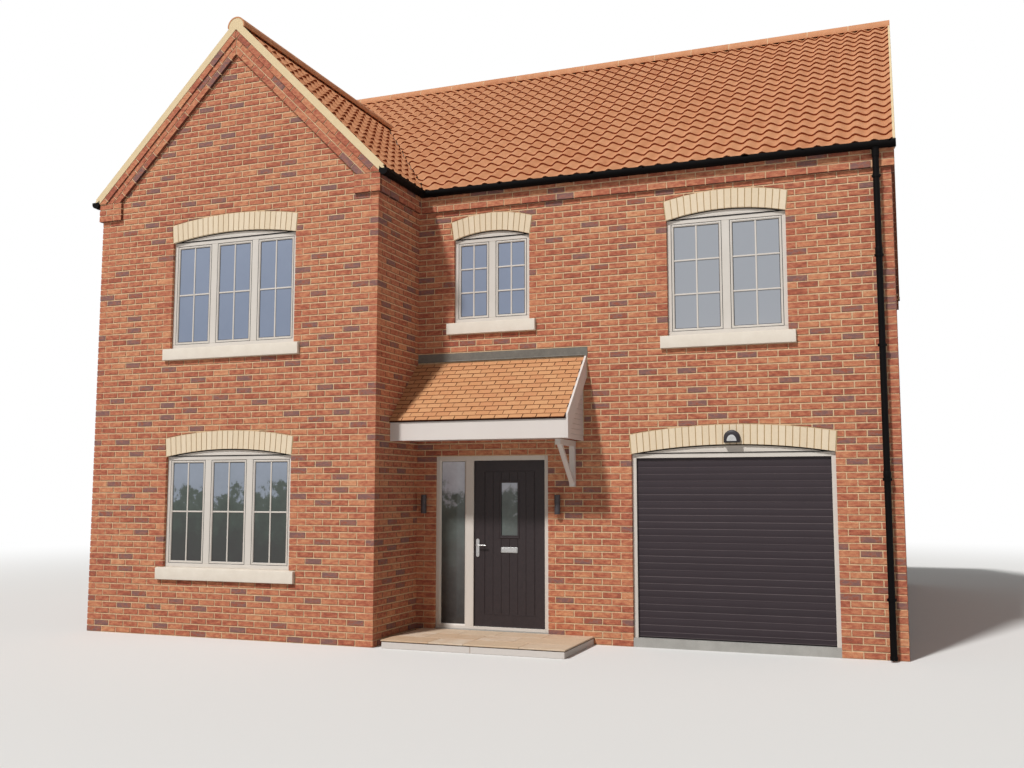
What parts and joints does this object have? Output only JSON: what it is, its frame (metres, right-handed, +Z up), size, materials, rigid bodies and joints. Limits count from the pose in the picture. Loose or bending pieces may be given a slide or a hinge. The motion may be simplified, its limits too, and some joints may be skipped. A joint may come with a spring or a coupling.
{
  "type": "detached house",
  "caption": "Two-storey brick house with a steep front gable, tiled roofs, canopied front door that opens, and a built-in garage with a roller shutter.",
  "frame": {"origin": "middle of the main block's plan at ground level, on the underside of the ground floor slab", "axes": "+X to the right along the front, +Y from the front into the house, +Z up"},
  "size_m": [9.887, 10.867, 8.9855],
  "materials": {
    "concrete": "rough",
    "floor_timber": "matte",
    "red_brick": "rough",
    "buff_brick": "rough",
    "cast_stone": "matte",
    "window_plastic": "satin",
    "glass": "clear",
    "door_skin": "satin",
    "satin_steel": "satin",
    "shutter_paint": "satin",
    "kerb_stone": "rough",
    "sandstone": "rough",
    "white_paint": "painted",
    "plain_tiles": "rough",
    "lead": "dull",
    "clay_tiles": "rough",
    "mortar": "rough",
    "black_plastic": "satin",
    "light_paint": "satin"
  },
  "bodies": {
    "house": {"ground_floor": "concrete", "first_floor": "floor_timber", "gable_front_wall": "red_brick", "gable_side_wall": "red_brick", "left_wall": "red_brick", "right_wall": "red_brick", "rear_wall": "red_brick", "front_wall_piers": "red_brick", "front_wall_upper": "red_brick", "eaves_bands": "red_brick", "kneelers": "red_brick", "raking_bands": "red_brick", "brick_arches": "buff_brick", "window_sills": "cast_stone", "window_frames": "window_plastic", "window_sashes": "window_plastic", "window_glass": "glass", "arch_panels": "window_plastic", "door_frame": "window_plastic", "frame_hinges": "satin_steel", "garage_frame": "window_plastic", "garage_shutter": "shutter_paint", "door_step": "kerb_stone", "step_flags": "sandstone", "canopy_boards": "white_paint", "canopy_tiles": "plain_tiles", "canopy_flashing": "lead", "canopy_bracket": "white_paint", "main_roof_front": "clay_tiles", "main_roof_rear": "clay_tiles", "gable_roof_left": "clay_tiles", "gable_roof_right": "clay_tiles", "ridge_tiles": "clay_tiles", "verge_mortar": "mortar", "gutters": "black_plastic", "downpipes": "black_plastic", "outside_lights": "light_paint"},
    "door": {"door_leaf": "door_skin", "door_glass_frame": "door_skin", "door_glass": "glass", "handle_plates": "satin_steel", "letter_plate": "satin_steel", "leaf_hinges": "satin_steel"},
    "lever": {"lever_handle": "satin_steel"},
    "flap": {"letter_flap": "satin_steel"}
  },
  "joints": [
    {"name": "door_swing", "type": "hinge", "parent": "house", "child": "door", "pos_m": [0.869, -4.66, 1.13], "axis": [0, 0, -1], "range_deg": [0, 90]},
    {"name": "lever_turn", "type": "hinge", "parent": "door", "child": "lever", "pos_m": [-0.0035, -4.69, 1.098], "axis": [0, 1, 0], "range_deg": [0, 40], "stiffness_Nm_per_rad": 2, "springref_deg": -28.65},
    {"name": "flap_lift", "type": "hinge", "parent": "door", "child": "flap", "pos_m": [0.405, -4.7195, 1.0685], "axis": [-1, 0, 0], "range_deg": [0, 85], "stiffness_Nm_per_rad": 0.2, "springref_deg": -17.19}
  ]
}
